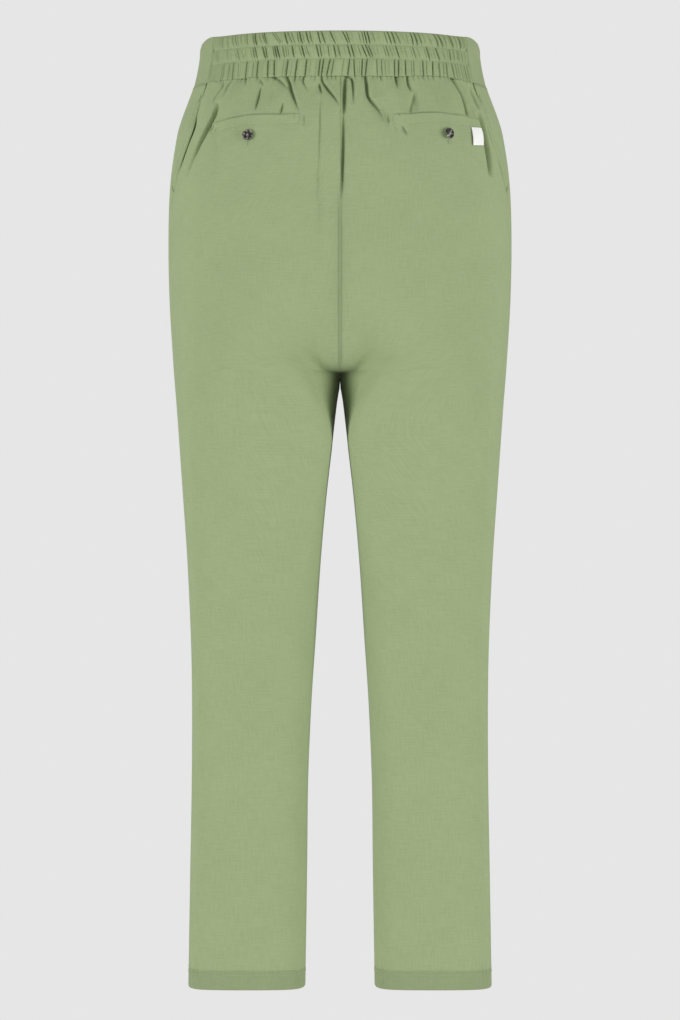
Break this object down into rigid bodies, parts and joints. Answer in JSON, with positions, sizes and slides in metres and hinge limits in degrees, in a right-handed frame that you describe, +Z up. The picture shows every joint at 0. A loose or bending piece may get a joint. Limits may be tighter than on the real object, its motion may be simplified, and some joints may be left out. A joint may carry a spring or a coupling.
{
  "type": "chinos",
  "caption": "Straight chinos standing hollow as worn: gathered elastic back waistband, flat front band, welt back pockets with buttons, plain open hems.",
  "frame": {"origin": "centre of the waist opening, level with the top edge of the waistband", "axes": "+Z up out of the waist, the front of the trousers faces -Y, the wearer's left is +X"},
  "size_m": [0.3748, 0.2365, 1.026],
  "materials": {
    "cloth": "matt plain weave, sage green",
    "button": "polished, dark marbled",
    "label_tape": "smooth white woven tape"
  },
  "bodies": {
    "root": {"back_left": "cloth", "back_right": "cloth", "front_left": "cloth", "front_right": "cloth", "waistband_back": "cloth", "waistband_front": "cloth", "welt_left": "cloth", "welt_right": "cloth", "button_left": "button", "button_right": "button", "label": "label_tape"}
  },
  "joints": []
}
